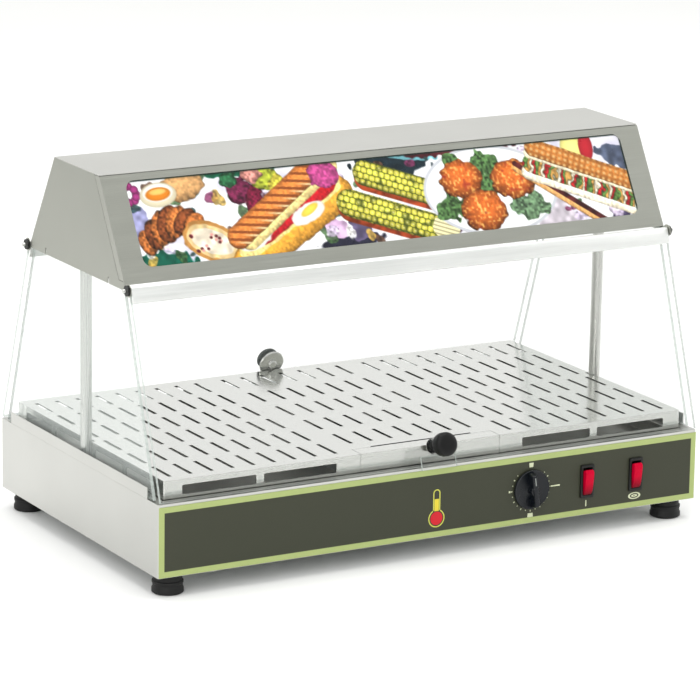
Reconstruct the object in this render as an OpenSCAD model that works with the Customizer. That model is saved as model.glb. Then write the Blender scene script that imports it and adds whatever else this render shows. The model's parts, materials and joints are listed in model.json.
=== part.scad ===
// Heated countertop display case with an illuminated canopy, two flip-up glass doors,
// a slotted heat shelf and a humidity drawer.
// Origin: floor level under the middle of the case. X to the right, Y to the back, Z up.

/* [Base] */
// Width of the base and the canopy
case_w = 590; // [560:5:640]
// Depth of the base
base_d = 340; // [330:5:360]
// Height of the folded base box
base_h = 70; // [68:1:80]
// Height of the rubber feet
foot_h = 20; // [16:1:30]
// Radius of a foot at its top
foot_r = 15; // [12:0.5:18]
// Thickness of the base sheet
sheet = 1.2; // [1:0.1:1.5]

/* [Shelf] */
// Width of the slotted shelf
shelf_w = 566; // [540:2:566]
// Depth of the slotted shelf
shelf_d = 314; // [300:2:316]
// Height of the shelf's top above the base's rim
shelf_rise = 18; // [16:0.5:20]
// Width of one slot in the shelf
slot_w = 3.8; // [2:0.1:4]
// Length of one slot in the shelf
slot_l = 36; // [26:1:38]
// Distance between neighbouring slots
slot_pitch = 21.8; // [20:0.1:22]

/* [Canopy] */
// Height of the canopy's top above the floor
canopy_top_z = 373; // [365:1:385]
// Depth of the canopy's flat top
canopy_top_d = 95; // [85:1:105]
// Depth of the canopy across its lower edges
canopy_low_d = 208; // [204:1:210]
// Thickness of the canopy sheet
canopy_sheet = 0.8; // [0.8:0.1:1]
// Width of the picture window
window_w = 542; // [500:2:548]
// Height of the picture window along the slope
window_h = 84; // [70:1:86]

/* [Doors] */
// Thickness of the glass
glass_t = 4; // [3:0.5:4]
// Lean of the closed doors from the vertical
door_lean = 18.6; // [18:0.1:19]
// Radius of the door knobs
door_knob_r = 11.5; // [9:0.5:14]
// Width of the humidity drawer's front
drawer_w = 152; // [120:2:156]

/* [Controls] */
// Radius of the thermostat knob
dial_r = 19.6; // [18:0.1:23]
// Distance of the thermostat knob from the middle
dial_x = 104.5; // [90:0.5:115]
// Distance of the heat switch from the middle
heat_switch_x = 168; // [160:0.5:175]
// Distance of the lamp switch from the middle
lamp_switch_x = 224; // [215:0.5:240]
// Width of a rocker switch's frame
switch_w = 15; // [14:0.5:17]
// Height of a rocker switch's frame
switch_h = 33; // [30:0.5:36]

/* [Hidden] */
$fn = 48;

// Base levels and edges
half_w = case_w / 2;
half_d = base_d / 2;
base_low_z = foot_h;
rim_z = foot_h + base_h;
corner_r = 1.6;
rim_w = 10.5;
rim_side_open = half_w - rim_w;
rim_end_open = half_d - rim_w - 0.5;
low_flange = 12;
low_flange_z = base_low_z + sheet + 0.1;

// Heat tray hung under the rim
tray_sheet = 1;
tray_top_z = rim_z - sheet - 0.2;
tray_floor_z = tray_top_z - 14;
tray_half_w = half_w - 19;
tray_half_d = half_d - 20;

// Posts between base and canopy
post_x = half_w - 9.7;
post_r = 5.5;
spigot_r = 4;
spigot_fit = 0.1;
post_bore_r = 2.5;
nut_af = 13;
nut_h = 6.5;

// Canopy levels: its skirt, and the flanges that the reflector lies on
canopy_top_half = canopy_top_d / 2;
canopy_low_half = canopy_low_d / 2;
skirt_z = 275.4;
flange_z = skirt_z + 5.2;
slope_run = canopy_low_half - canopy_top_half;
slope_rise = canopy_top_z - skirt_z;
slope_angle = atan(slope_run / slope_rise);
end_in = half_w - canopy_sheet;
wrap_w = 10;
seam_gap = 0.4;
wrap_low_z = flange_z + 3;

// Door hinge line and door parts, measured down the door from the hinge line
hinge_y = canopy_low_half + 3.5;
hinge_z = 277;
pin_r = 2;
pin_fit = 0.06;
lug_r = 6.2;
profile_half_w = half_w - 1.7;
profile_t = 8;
profile_up = 3.5;
profile_down = 12.5;
glass_end = 195.8;
front_knob_down = 178;
rear_knob_down = 171;
knob_screw_r = 2;

// Shelf
shelf_sheet = 1;
shelf_top_z = rim_z + shelf_rise;
shelf_low_z = tray_top_z + 0.1;
drawer_gap = 0.4;
drawer_lip = 17;

// Side glass between the post and the canopy's skirt
side_glass_t = 3;
side_glass_out = half_w - 1;
rail_top_z = rim_z + 11;
rail_half_l = 147.5;

// Controls
panel_y = -half_d - 0.6;
control_z = foot_h + 34;
switch_cut_w = switch_w - 3.4;
switch_cut_h = switch_h - 3.4;
rocker_w = 9.4;
rocker_tilt = 8;
shaft_r = 3;
shaft_out = 8.4;
gland_x = -230;
gland_z = foot_h + 30;
gland_bore_r = 4.2;
gland_end_y = half_d + 21.5;

// ---------- shared shapes ----------

// Flat outline of a rectangle with rounded corners, centred
module round_rect(w, h, r) {
  square([w - 2 * r, h], center = true);
  square([w, h - 2 * r], center = true);
  for (sx = [-1, 1], sy = [-1, 1])
    translate([sx * (w / 2 - r), sy * (h / 2 - r)]) circle(r = r);
}

// Block given by its lowest and highest corners
module block(low, high) {
  translate(low) cube(high - low);
}

// Cylinder along X from x0 to x1
module rod_x(x0, x1, r, y = 0, z = 0) {
  translate([x0, y, z]) rotate([0, 90, 0]) cylinder(r = r, h = x1 - x0);
}

// Cylinder along Y from y0 to y1
module rod_y(y0, y1, r, x = 0, z = 0) {
  translate([x, y0, z]) rotate([-90, 0, 0]) cylinder(r = r, h = y1 - y0);
}

// Outline in Y and Z pushed out along X from x0 to x1
module slab_x(x0, x1) {
  translate([x0, 0, 0]) rotate([90, 0, 90]) linear_extrude(x1 - x0) children();
}

// Pan head screw pointing down, its seat at the origin
module pan_screw(head_r, head_h, shank_r, shank_l) {
  difference() {
    cylinder(r = head_r, h = head_h);
    translate([0, 0, head_h - 0.8]) block_centre(head_r * 1.3, 0.7, 2);
    translate([0, 0, head_h - 0.8]) block_centre(0.7, head_r * 1.3, 2);
  }
  translate([0, 0, -shank_l]) cylinder(r = shank_r, h = shank_l);
}

// Block standing on the XY plane, centred in X and Y
module block_centre(w, d, h) {
  translate([-w / 2, -d / 2, 0]) cube([w, d, h]);
}

// Hexagon nut, its bottom at the origin
module hex_nut(af, h, bore_r) {
  difference() {
    cylinder(r = af / sqrt(3), h = h, $fn = 6);
    translate([0, 0, -1]) cylinder(r = bore_r, h = h + 2);
  }
}

// ---------- base ----------

module base_housing() {
  color([0.83, 0.83, 0.81]) difference() {
    translate([0, 0, base_low_z]) linear_extrude(base_h) round_rect(case_w, base_d, corner_r);
    block([-half_w + sheet, -half_d + sheet, low_flange_z + sheet],
          [half_w - sheet, half_d - sheet, rim_z - sheet]);
    block([-half_w + sheet, -half_d + sheet, base_low_z - 1],
          [half_w - sheet, half_d - sheet, low_flange_z]);
    block([-half_w + low_flange, -half_d + low_flange, base_low_z - 1],
          [half_w - low_flange, half_d - low_flange, rim_z - sheet]);
    block([-rim_side_open, -rim_end_open, rim_z - sheet - 1], [rim_side_open, rim_end_open, rim_z + 1]);
    for (sx = [-1, 1])
      translate([sx * post_x, 0, rim_z - sheet - 1]) cylinder(r = post_r + 0.3, h = sheet + 2);
    rod_y(-half_d - 1, -half_d + sheet + 1, 5, dial_x, control_z);
    for (x = [heat_switch_x, lamp_switch_x])
      block([x - switch_cut_w / 2 - 0.1, -half_d - 1, control_z - switch_cut_h / 2 - 0.1],
            [x + switch_cut_w / 2 + 0.1, -half_d + sheet + 1, control_z + switch_cut_h / 2 + 0.1]);
    rod_y(half_d - sheet - 1, half_d + 1, 8.1, gland_x, gland_z);
    for (x = bottom_screw_x(), y = bottom_screw_y())
      translate([x, y, base_low_z - 1]) cylinder(r = 1.6, h = 8);
  }
}

function bottom_screw_x() = [-half_w + 60, 0, half_w - 60];
function bottom_screw_y() = [-half_d + 7, half_d - 7];
function foot_x() = half_w - 20;
function foot_y() = half_d - 20;

module bottom_plate() {
  color([0.72, 0.73, 0.72]) difference() {
    block([-half_w + sheet + 0.3, -half_d + sheet + 0.3, base_low_z],
          [half_w - sheet - 0.3, half_d - sheet - 0.3, base_low_z + sheet]);
    for (x = [-8:8], y = [-60, 60])
      if (abs(x) > 1)
        block([x * 14 - 2, y - 25, base_low_z - 1], [x * 14 + 2, y + 25, base_low_z + sheet + 1]);
    for (x = bottom_screw_x(), y = bottom_screw_y())
      translate([x, y, base_low_z - 1]) cylinder(r = 1.6, h = 4);
    for (sx = [-1, 1], sy = [-1, 1])
      translate([sx * foot_x(), sy * foot_y(), base_low_z - 1]) cylinder(r = 2.6, h = 4);
  }
}

module bottom_plate_screws() {
  color([0.6, 0.6, 0.6])
    for (x = bottom_screw_x(), y = bottom_screw_y())
      translate([x, y, base_low_z - 0.05]) rotate([180, 0, 0]) pan_screw(3.2, 1.8, 1.5, 6);
}

module heat_tray() {
  color([0.9, 0.9, 0.88]) difference() {
    union() {
      block([-half_w + 2, -half_d + 2, tray_top_z - tray_sheet], [half_w - 2, half_d - 2, tray_top_z]);
      block([-tray_half_w, -tray_half_d, tray_floor_z], [tray_half_w, tray_half_d, tray_top_z]);
    }
    block([-tray_half_w + tray_sheet, -tray_half_d + tray_sheet, tray_floor_z + tray_sheet],
          [tray_half_w - tray_sheet, tray_half_d - tray_sheet, tray_top_z + 1]);
    for (sx = [-1, 1])
      translate([sx * post_x, 0, tray_floor_z]) cylinder(r = spigot_r + spigot_fit, h = 20);
  }
}

module fascia_panel() {
  color([0.3, 0.31, 0.25]) difference() {
    block([-half_w + 0.6, panel_y, base_low_z + 0.4], [half_w - 0.6, -half_d - 0.02, rim_z - 2.6]);
    rod_y(-half_d - 5, -half_d + 5, 5, dial_x, control_z);
    for (x = [heat_switch_x, lamp_switch_x])
      block([x - switch_cut_w / 2 - 0.1, -half_d - 5, control_z - switch_cut_h / 2 - 0.1],
            [x + switch_cut_w / 2 + 0.1, -half_d + 5, control_z + switch_cut_h / 2 + 0.1]);
  }
}

// Rubber foot: a tapered body with a grip ring, hollowed for its screw
module foot(sx, sy) {
  color([0.06, 0.06, 0.06]) translate([sx * foot_x(), sy * foot_y(), 0]) rotate_extrude()
    polygon([[2.6, foot_h - 8], [2.6, foot_h], [foot_r, foot_h], [foot_r, foot_h - 6],
             [foot_r - 1, foot_h - 7], [foot_r - 1, 4], [foot_r - 2.5, 0], [6, 0], [6, foot_h - 8]]);
}

module foot_screws() {
  color([0.6, 0.6, 0.6])
    for (sx = [-1, 1], sy = [-1, 1])
      translate([sx * foot_x(), sy * foot_y(), foot_h - 8.1])
        rotate([180, 0, 0]) pan_screw(5, 3, 2.5, 14);
}

// ---------- shelf and drawer ----------

// Centres of the slots in the two outer fields
function outer_slot_x() = [for (k = [0:8]) 96 + slot_pitch * k];
function outer_slot_y() = [for (k = [0:5]) -127 + 50.4 * k];
// Centres of the slots in the middle field
function middle_slot_x() = [for (k = [-3:3]) slot_pitch * k];
function middle_slot_y() = [for (k = [0:4]) -102.5 + 57 * k];

module slotted_shelf() {
  hx = shelf_w / 2;
  hy = shelf_d / 2;
  notch_x = post_x - post_r - 0.8;
  vent_low = shelf_low_z + 4.5;
  vent_high = vent_low + 9;
  color([0.93, 0.93, 0.92]) difference() {
    translate([0, 0, shelf_low_z]) linear_extrude(shelf_top_z - shelf_low_z)
      round_rect(shelf_w, shelf_d, 1.2);
    block([-hx + shelf_sheet, -hy + shelf_sheet, shelf_low_z - 1],
          [hx - shelf_sheet, hy - shelf_sheet, shelf_top_z - shelf_sheet]);
    for (sx = [-1, 1], x = outer_slot_x(), y = outer_slot_y())
      translate([sx * x, y, shelf_top_z - 3]) block_centre(slot_w, slot_l, 5);
    for (x = middle_slot_x(), y = middle_slot_y())
      translate([x, y, shelf_top_z - 3]) block_centre(slot_w, slot_l, 5);
    // cut-out for the drawer's front with a finger slot behind its lip
    block([-drawer_w / 2 - drawer_gap, -hy - 1, shelf_low_z - 1],
          [drawer_w / 2 + drawer_gap, -hy + drawer_lip + drawer_gap, shelf_top_z + 1]);
    block([-drawer_w / 2 + 21, -hy, shelf_top_z - 3],
          [drawer_w / 2 - 21, -hy + drawer_lip + 3, shelf_top_z + 1]);
    // clearance for the posts
    for (sx = [-1, 1])
      translate([sx * (notch_x + 10), 0, shelf_low_z - 1]) block_centre(20, 2 * post_r + 3, 30);
    // air slots through the four aprons, two each side of the drawer and of the posts
    for (sx = [-1, 1], x0 = [102, 187])
      for (sy = [-1, 1])
        translate([sx * (x0 + 38.5), sy * hy, 0]) apron_slot(77, vent_low, vent_high);
    for (sx = [-1, 1], sy = [-1, 1], y0 = [14, 80])
      translate([sx * hx, sy * (y0 + 29), 0]) rotate([0, 0, 90]) apron_slot(58, vent_low, vent_high);
    translate([0, hy, 0]) apron_slot(110, vent_low, vent_high);
  }
}

// Air slot with small round corners through an apron in the XZ plane
module apron_slot(l, z0, z1) {
  translate([0, 4, (z0 + z1) / 2]) rotate([90, 0, 0]) linear_extrude(8) round_rect(l, z1 - z0, 1.5);
}

module humidity_drawer() {
  front_y = -shelf_d / 2;
  low_z = rim_z + 0.4;
  tray_w = drawer_w - 12;
  tray_l = 128;
  tray_h = 12;
  color([0.9, 0.9, 0.89]) union() {
    block([-drawer_w / 2, front_y, low_z], [drawer_w / 2, front_y + 1, shelf_top_z]);
    block([-drawer_w / 2, front_y, shelf_top_z - 1], [drawer_w / 2, front_y + drawer_lip, shelf_top_z]);
    difference() {
      block([-tray_w / 2, front_y, low_z], [tray_w / 2, front_y + tray_l, low_z + tray_h]);
      block([-tray_w / 2 + 1, front_y + 1, low_z + 1], [tray_w / 2 - 1, front_y + tray_l - 1, low_z + 20]);
    }
  }
}

// Two angle runners standing on the heat tray, one each side of the drawer
module drawer_runners() {
  run_x = drawer_w / 2 - 6;
  color([0.75, 0.75, 0.74])
    for (s = [-1, 1]) mirror([s < 0 ? 1 : 0, 0, 0]) {
      block([run_x + 0.4, -tray_half_d + 2, tray_floor_z + tray_sheet], [run_x + 1.4, -10, rim_z + 8]);
      block([run_x - 9, -tray_half_d + 2, rim_z - 0.9], [run_x + 1, -10, rim_z + 0.1]);
    }
}

// ---------- heating ----------

element_r = 4;
element_z = tray_floor_z - element_r - 0.2;
element_half_l = 205;
element_bend = 32;

module bend_half(x, y, turn) {
  translate([x, y, element_z]) rotate([0, 0, turn])
    rotate_extrude(angle = 180) translate([element_bend, 0]) circle(r = element_r);
}

// Tubular heater bent into a flat serpentine of four long runs
module heating_element() {
  color([0.45, 0.44, 0.42]) union() {
    for (k = [0:3])
      rod_x(-element_half_l, element_half_l, element_r, (k - 1.5) * 2 * element_bend, element_z);
    bend_half(element_half_l, -2 * element_bend, -90);
    bend_half(-element_half_l, 0, 90);
    bend_half(element_half_l, 2 * element_bend, -90);
    for (y = [-3, 3] * element_bend) {
      rod_x(-element_half_l - 18, -element_half_l, 3, y, element_z);
      rod_x(-element_half_l - 30, -element_half_l - 17, 1.2, y, element_z);
    }
  }
}

module element_clips() {
  clip_y = 4 * element_bend - 12;
  color([0.7, 0.7, 0.68])
    for (x = [-150, 0, 150]) difference() {
      block([x - 7, -clip_y, element_z - element_r - 1.2], [x + 7, clip_y, tray_floor_z - 0.1]);
      block([x - 8, -clip_y + 2, element_z - element_r - 0.1], [x + 8, clip_y - 2, tray_floor_z + 1]);
    }
}

module thermostat_body() {
  color([0.86, 0.84, 0.78]) difference() {
    union() {
      block([dial_x - 21, -half_d + sheet + 2, control_z - 17], [dial_x + 21, -half_d + 30, control_z + 17]);
      rod_y(-half_d + sheet + 0.1, -half_d + sheet + 3, 4.8, dial_x, control_z);
    }
    rod_y(-half_d - 1, -half_d + 20, shaft_r + 0.05, dial_x, control_z);
  }
  color([0.75, 0.6, 0.2])
    for (x = [-12, 0, 12])
      block([dial_x + x - 3, -half_d + 30, control_z - 0.4], [dial_x + x + 3, -half_d + 37, control_z + 0.4]);
}

module thermostat_shaft() {
  color([0.8, 0.8, 0.8]) difference() {
    rod_y(panel_y - shaft_out, -half_d + 19, shaft_r, dial_x, control_z);
    block([dial_x - 5, panel_y - 20, control_z + shaft_r - 1], [dial_x + 5, panel_y - 2, control_z + 5]);
  }
}

// Low round knob: a thin skirt, a boss round the shaft and a narrow grip bar across it
module thermostat_knob() {
  back = panel_y - 0.6;
  skirt_t = 2.6;
  boss_r = 4.8;
  bar_half = 2.8;
  bar_out = 11;
  bar_lean = 7.5;
  grip_half = dial_r - 1.8;
  color([0.09, 0.12, 0.16]) translate([dial_x, 0, control_z]) difference() {
    union() {
      rod_y(back - skirt_t, back, dial_r);
      rod_y(panel_y - 9.6, back - skirt_t + 0.1, boss_r);
      rotate([0, -bar_lean, 0])
        block([-bar_half, panel_y - bar_out, -grip_half], [bar_half, back - skirt_t + 0.1, grip_half]);
    }
    difference() {
      rod_y(panel_y - shaft_out - 0.2, panel_y + 1, shaft_r + 0.02);
      block([-5, panel_y - shaft_out - 1, shaft_r - 0.98], [5, panel_y - 2, 5]);
    }
  }
}

// Sensor bulb under the heat tray and its capillary tube to the thermostat
module thermostat_sensor() {
  tube_x = dial_x + 12;
  run_z = control_z + 8;
  bulb_y = -10;
  color([0.72, 0.45, 0.3]) union() {
    rod_y(-half_d + 30.05, bulb_y, 1, tube_x, run_z);
    rod_y(bulb_y - 0.1, bulb_y + 60, 3, tube_x, run_z);
  }
}

// Rocker switch: frame in front of the panel, body behind it
module switch_case(x) {
  color([0.05, 0.05, 0.05]) translate([x, 0, control_z]) difference() {
    union() {
      translate([0, panel_y - 0.02, 0]) rotate([90, 0, 0])
        linear_extrude(2.2) round_rect(switch_w, switch_h, 1.2);
      block([-switch_cut_w / 2, panel_y - 0.1, -switch_cut_h / 2],
            [switch_cut_w / 2, -half_d + 20, switch_cut_h / 2]);
    }
    block([-rocker_w / 2 - 0.4, panel_y - 5, -switch_cut_h / 2 + 1],
          [rocker_w / 2 + 0.4, panel_y + 9, switch_cut_h / 2 - 1]);
    rod_x(-rocker_w / 2 - 0.95, rocker_w / 2 + 0.95, 1.25, panel_y + 3, 0);
  }
  color([0.8, 0.6, 0.25])
    for (z = [-9, 0, 9])
      block([x - 2.4, -half_d + 19.9, control_z + z - 0.4], [x + 2.4, -half_d + 28, control_z + z + 0.4]);
}

// Translucent rocker on two side trunnions, its bottom pressed in at rest
module switch_rocker(x) {
  half_h = switch_cut_h / 2 - 1.9;
  color([0.8, 0.08, 0.1]) translate([x, panel_y + 3, control_z]) rotate([rocker_tilt, 0, 0]) union() {
    slab_x(-rocker_w / 2, rocker_w / 2)
      polygon([[0, -half_h + 3], [-5.5, -half_h], [-8.5, -half_h + 0.6], [-6.2, 0],
               [-8.5, half_h - 0.6], [-5.5, half_h], [0, half_h - 3], [1.8, 0]]);
    rod_x(-rocker_w / 2 - 0.8, rocker_w / 2 + 0.8, 1.2);
  }
}

module heat_switch_case() { switch_case(heat_switch_x); }
module lamp_switch_case() { switch_case(lamp_switch_x); }
module heat_switch_rocker() { switch_rocker(heat_switch_x); }
module lamp_switch_rocker() { switch_rocker(lamp_switch_x); }

// Three-way terminal block on the bottom plate, behind the cable gland
module terminal_block() {
  low_z = base_low_z + sheet + 0.1;
  color([0.85, 0.84, 0.8]) difference() {
    block([gland_x - 22, half_d - 62, low_z], [gland_x + 22, half_d - 42, low_z + 16]);
    for (k = [-1:1])
      rod_y(half_d - 63, half_d - 41, 2.4, gland_x + k * 13, low_z + 6);
    for (k = [-1:1], y = [half_d - 57, half_d - 47])
      translate([gland_x + k * 13, y, low_z + 9]) cylinder(r = 2, h = 8);
  }
}

// Wires tied in one loom from the terminal block to the switches
module wiring_loom() {
  loom_r = 3;
  bend = 10;
  loom_z = base_low_z + sheet + 6;
  start_y = half_d - 63;
  turn_y = -half_d + 60;
  color([0.15, 0.15, 0.16]) union() {
    rod_y(turn_y + bend, start_y - 0.3, loom_r, gland_x, loom_z);
    translate([gland_x + bend, turn_y + bend, loom_z]) rotate([0, 0, 180])
      rotate_extrude(angle = 90) translate([bend, 0]) circle(r = loom_r);
    rod_x(gland_x + bend, lamp_switch_x, loom_r, turn_y, loom_z);
  }
}

module cable_gland() {
  hex_y = half_d + 0.1;
  color([0.1, 0.1, 0.1]) difference() {
    union() {
      translate([gland_x, hex_y, gland_z]) rotate([-90, 0, 0]) cylinder(r = 13, h = 5, $fn = 6);
      rod_y(half_d - 10, hex_y + 1, 7.9, gland_x, gland_z);
      translate([gland_x, hex_y + 4.9, gland_z]) rotate([-90, 0, 0]) cylinder(r = 11.5, h = 9, $fn = 12);
      translate([gland_x, hex_y + 13.8, gland_z]) rotate([-90, 0, 0])
        cylinder(r1 = 10.5, r2 = 6.5, h = gland_end_y - hex_y - 13.8);
    }
    rod_y(half_d - 12, gland_end_y + 1, gland_bore_r, gland_x, gland_z);
  }
}

module gland_lock_nut() {
  color([0.1, 0.1, 0.1]) translate([gland_x, half_d - sheet - 5.1, gland_z]) rotate([-90, 0, 0])
    hex_nut(22, 5, 8);
}

// ---------- posts and side glass ----------

module post(sx) {
  low_z = tray_top_z + 0.1;
  high_z = flange_z - 0.1;
  color([0.78, 0.78, 0.76]) translate([sx * post_x, 0, 0]) difference() {
    union() {
      translate([0, 0, low_z]) cylinder(r = post_r, h = high_z - low_z);
      translate([0, 0, low_z - 11]) cylinder(r = spigot_r, h = high_z - low_z + 20);
    }
    translate([0, 0, low_z - 20]) cylinder(r = post_bore_r, h = high_z - low_z + 40);
  }
}

module post_left() { post(-1); }
module post_right() { post(1); }

module post_nuts() {
  color([0.7, 0.7, 0.7])
    for (sx = [-1, 1], z = [tray_top_z - tray_sheet - nut_h - 0.1, flange_z + 2 * canopy_sheet + 0.3])
      translate([sx * post_x, 0, z]) hex_nut(nut_af, nut_h, spigot_r + 0.05);
}

// Steel rail along the side: a wall outside the glass and a foot under it
module side_rail(sx) {
  color([0.88, 0.88, 0.86]) mirror([sx < 0 ? 1 : 0, 0, 0]) union() {
    block([half_w - 0.8, -rail_half_l, rim_z + 0.1], [half_w, rail_half_l, rail_top_z]);
    block([half_w - 4, -rail_half_l, rim_z + 0.1], [half_w - 0.1, rail_half_l, rim_z + 0.9]);
  }
}

module side_rail_left() { side_rail(-1); }
module side_rail_right() { side_rail(1); }

module side_glass(sx) {
  low_z = rim_z + 1;
  high_z = flange_z - 0.3;
  low_y = hinge_y + 50.5;
  high_y = canopy_low_half - 8;
  color([0.85, 0.9, 0.88, 0.4]) mirror([sx < 0 ? 1 : 0, 0, 0])
    slab_x(side_glass_out - side_glass_t, side_glass_out)
      polygon([[-low_y, low_z], [low_y, low_z], [high_y, high_z], [-high_y, high_z]]);
}

module side_glass_left() { side_glass(-1); }
module side_glass_right() { side_glass(1); }

// ---------- canopy ----------

// Screws through the rear slope into the end plates' upper tabs
screw_z = 340;
function canopy_screw_x() = [-half_w + 14, -half_w / 3, half_w / 3, half_w - 14];

// Y of the canopy's sloped outer face at a height
function slope_y(z) = canopy_low_half - (z - skirt_z) * slope_run / slope_rise;

// Outer cross-section of the canopy between two heights, drawn inwards by a margin
module canopy_section(z0, z1, margin = 0) {
  edge = margin / cos(slope_angle);
  polygon([[-slope_y(z0) + edge, z0], [slope_y(z0) - edge, z0],
           [slope_y(z1) - edge, z1], [-slope_y(z1) + edge, z1]]);
}

// End plate with hinge lugs, relief notches and an inward flange that stands on the post
module canopy_end(sx) {
  lid_z = canopy_top_z - canopy_sheet - 0.1;
  color([0.72, 0.72, 0.69]) mirror([sx < 0 ? 1 : 0, 0, 0]) difference() {
    union() {
      slab_x(end_in, half_w) difference() {
        union() {
          canopy_section(skirt_z, lid_z, canopy_sheet + 0.2);
          for (s = [-1, 1]) {
            translate([s * hinge_y, hinge_z]) circle(r = lug_r);
            translate([s * (hinge_y - 7), (skirt_z + flange_z) / 2])
              square([14, flange_z - skirt_z - 0.6], center = true);
          }
        }
        // strip taken by the front panel's side flange
        polygon([[-slope_y(wrap_low_z) - 2, wrap_low_z - seam_gap],
                 [-slope_y(wrap_low_z) + wrap_w + seam_gap, wrap_low_z - seam_gap],
                 [-slope_y(canopy_top_z) + wrap_w + seam_gap, canopy_top_z],
                 [-slope_y(canopy_top_z) - 2, canopy_top_z]]);
        for (s = [-1, 1]) translate([s * 67, skirt_z]) square([2.5, 12], center = true);
      }
      block([half_w - 26, -65, flange_z], [half_w - 0.1, 65, flange_z + canopy_sheet]);
    }
    for (s = [-1, 1]) rod_x(half_w - 5, half_w + 5, pin_r + 0.02, s * hinge_y, hinge_z);
    translate([post_x, 0, flange_z - 1]) cylinder(r = spigot_r + spigot_fit, h = 5);
  }
}

module canopy_end_left() { canopy_end(-1); }
module canopy_end_right() { canopy_end(1); }

// Folded sheet: flat top, rear slope and a lower return flange
module canopy_cover() {
  t = canopy_sheet;
  edge = t / cos(slope_angle);
  z_top = canopy_top_z;
  low = flange_z;
  color([0.82, 0.82, 0.8]) difference() {
    union() {
      slab_x(-half_w, half_w)
        polygon([[-canopy_top_half + 0.3, z_top], [canopy_top_half, z_top], [slope_y(low), low],
                 [slope_y(low) - edge, low], [slope_y(z_top - t) - edge, z_top - t],
                 [-canopy_top_half + 0.3, z_top - t]]);
      block([-end_in + 0.3, slope_y(low) - 12, low], [end_in - 0.3, slope_y(low) - edge / 2, low + t]);
    }
    for (x = canopy_screw_x())
      translate([x, slope_y(screw_z), screw_z]) rotate([-90 + slope_angle, 0, 0])
        translate([0, 0, -5]) cylinder(r = 1.6, h = 10);
  }
}

// Point on the front slope: distance down from the top fold
module on_front_slope() {
  translate([0, -canopy_top_half, canopy_top_z]) rotate([90 - slope_angle, 0, 0]) children();
}

// Front panel: sloped face with the picture window, side flanges and a lower return flange
module canopy_front() {
  t = canopy_sheet;
  edge = t / cos(slope_angle);
  window_down = 8 + window_h / 2;
  top_z = canopy_top_z - 1.2;
  color([0.7, 0.7, 0.66]) difference() {
    union() {
      slab_x(-half_w, half_w)
        polygon([[-slope_y(top_z), top_z], [-slope_y(flange_z), flange_z],
                 [-slope_y(flange_z) + edge, flange_z], [-slope_y(top_z) + edge, top_z]]);
      block([-end_in + 0.3, -slope_y(flange_z) + edge / 2, flange_z],
            [end_in - 0.3, -slope_y(flange_z) + 12, flange_z + t]);
      for (x = [-half_w, half_w - t])
        slab_x(x, x + t)
          polygon([[-slope_y(top_z), top_z], [-slope_y(wrap_low_z), wrap_low_z],
                   [-slope_y(wrap_low_z) + wrap_w, wrap_low_z], [-slope_y(top_z) + wrap_w, top_z]]);
    }
    on_front_slope() translate([0, -window_down, -3]) linear_extrude(6)
      round_rect(window_w, window_h, 9);
  }
}

module canopy_screws() {
  color([0.7, 0.7, 0.7])
    for (x = canopy_screw_x())
      translate([x, slope_y(screw_z), screw_z]) rotate([-90 + slope_angle, 0, 0])
        translate([0, 0, 0.05]) pan_screw(3.4, 1.6, 1.5, 5);
}

// Printed translucent sheet close behind the window
module picture_sheet() {
  color([0.9, 0.75, 0.45]) on_front_slope()
    translate([-window_w / 2 - 8, -8 - window_h - 5, -canopy_sheet - 1.8])
      cube([window_w + 16, window_h + 9, 1.5]);
}

// Two channels that hold the picture sheet's long edges
module picture_channels() {
  back = -canopy_sheet - 3.3;
  color([0.8, 0.8, 0.8]) on_front_slope()
    for (down = [5.6, 8 + window_h + 1.4])
      translate([-window_w / 2 + 10, -down, back]) cube([window_w - 20, 4, 1.3]);
}

// White underside of the canopy with an opening for the light
module lamp_reflector() {
  z0 = flange_z + canopy_sheet + 0.1;
  color([0.95, 0.95, 0.93]) difference() {
    block([-half_w + 2, -96, z0], [half_w - 2, 96, z0 + canopy_sheet]);
    block([-225, -36, z0 - 1], [225, 36, z0 + 3]);
    for (sx = [-1, 1]) translate([sx * post_x, 0, z0 - 1]) cylinder(r = spigot_r + 0.3, h = 3);
  }
}

module lamp_diffuser() {
  z0 = flange_z + 2 * canopy_sheet + 0.2;
  color([0.96, 0.96, 0.92, 0.8]) block([-232, -43, z0], [232, 43, z0 + 2]);
}

module lamp_tube() {
  lamp_z = 316;
  color([0.98, 0.98, 0.95]) union() {
    rod_x(-208, 208, 12.8, 0, lamp_z);
    for (s = [-1, 1]) {
      rod_x(s < 0 ? -219 : 207, s < 0 ? -207 : 219, 13, 0, lamp_z);
      for (y = [-6.4, 6.4]) rod_x(s < 0 ? -225 : 218, s < 0 ? -218 : 225, 1.1, y, lamp_z);
    }
  }
}

module lamp_holders() {
  z0 = flange_z + 2 * canopy_sheet + 0.2;
  lamp_z = 316;
  color([0.93, 0.93, 0.9])
    for (s = [-1, 1]) mirror([s < 0 ? 1 : 0, 0, 0]) difference() {
      union() {
        block([219.3, -11, 284.6], [233, 11, lamp_z]);
        rod_x(219.3, 233, 14, 0, lamp_z);
        block([232.5, -11, z0], [248, 11, z0 + 3]);
        block([232.5, -11, z0], [235, 11, lamp_z]);
      }
      for (y = [-6.4, 6.4]) rod_x(210, 226, 1.3, y, lamp_z);
    }
}

module lamp_ballast() {
  z0 = flange_z + 2 * canopy_sheet + 0.2;
  color([0.85, 0.85, 0.86]) union() {
    block([-75, 50, z0], [75, 82, z0 + 26]);
    block([-85, 54, z0], [85, 78, z0 + 1.5]);
  }
}

// ---------- doors ----------

// Fixed hinge pins, one at each end of each door
module hinge_pins() {
  color([0.72, 0.72, 0.7])
    for (sx = [-1, 1], s = [-1, 1]) mirror([sx < 0 ? 1 : 0, 0, 0])
      rod_x(profile_half_w - 13, half_w + 5.5, pin_r, s * hinge_y, hinge_z);
}

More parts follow.
